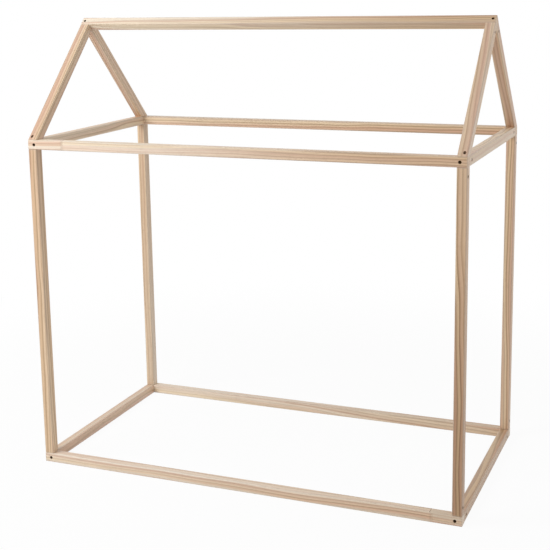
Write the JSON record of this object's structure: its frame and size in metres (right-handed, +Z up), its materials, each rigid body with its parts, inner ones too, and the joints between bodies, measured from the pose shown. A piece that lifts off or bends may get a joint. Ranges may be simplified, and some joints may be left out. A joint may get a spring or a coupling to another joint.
{
  "type": "house frame bed",
  "caption": "Child's floor bed frame in the outline of a house: an open box of square timber under a pitched roof of rafters and a ridge, bolted together, with room for a mattress.",
  "frame": {"origin": "on the floor under the middle of the frame", "axes": "+X along the bed to the right, +Y from its front to its back, +Z up"},
  "size_m": [1.484, 0.784, 1.5297],
  "materials": {
    "timber": "clear matt",
    "steel": "dark oxide",
    "dowel": "raw"
  },
  "bodies": {
    "root": {"front_bottom_rail": "timber", "back_bottom_rail": "timber", "left_bottom_rail": "timber", "right_bottom_rail": "timber", "front_top_rail": "timber", "back_top_rail": "timber", "left_top_rail": "timber", "right_top_rail": "timber", "front_left_post": "timber", "front_right_post": "timber", "back_left_post": "timber", "back_right_post": "timber", "front_left_rafter": "timber", "front_right_rafter": "timber", "back_left_rafter": "timber", "back_right_rafter": "timber", "ridge_beam": "timber", "rail_bolts": "steel", "rail_barrel_nuts": "steel", "post_bolts": "steel", "post_barrel_nuts": "steel", "eaves_bolts": "steel", "eaves_barrel_nuts": "steel", "ridge_bolts": "steel", "ridge_barrel_nuts": "steel", "rail_dowels": "dowel", "post_dowels": "dowel", "ridge_dowels": "dowel", "rafter_foot_dowels": "dowel"}
  },
  "joints": []
}
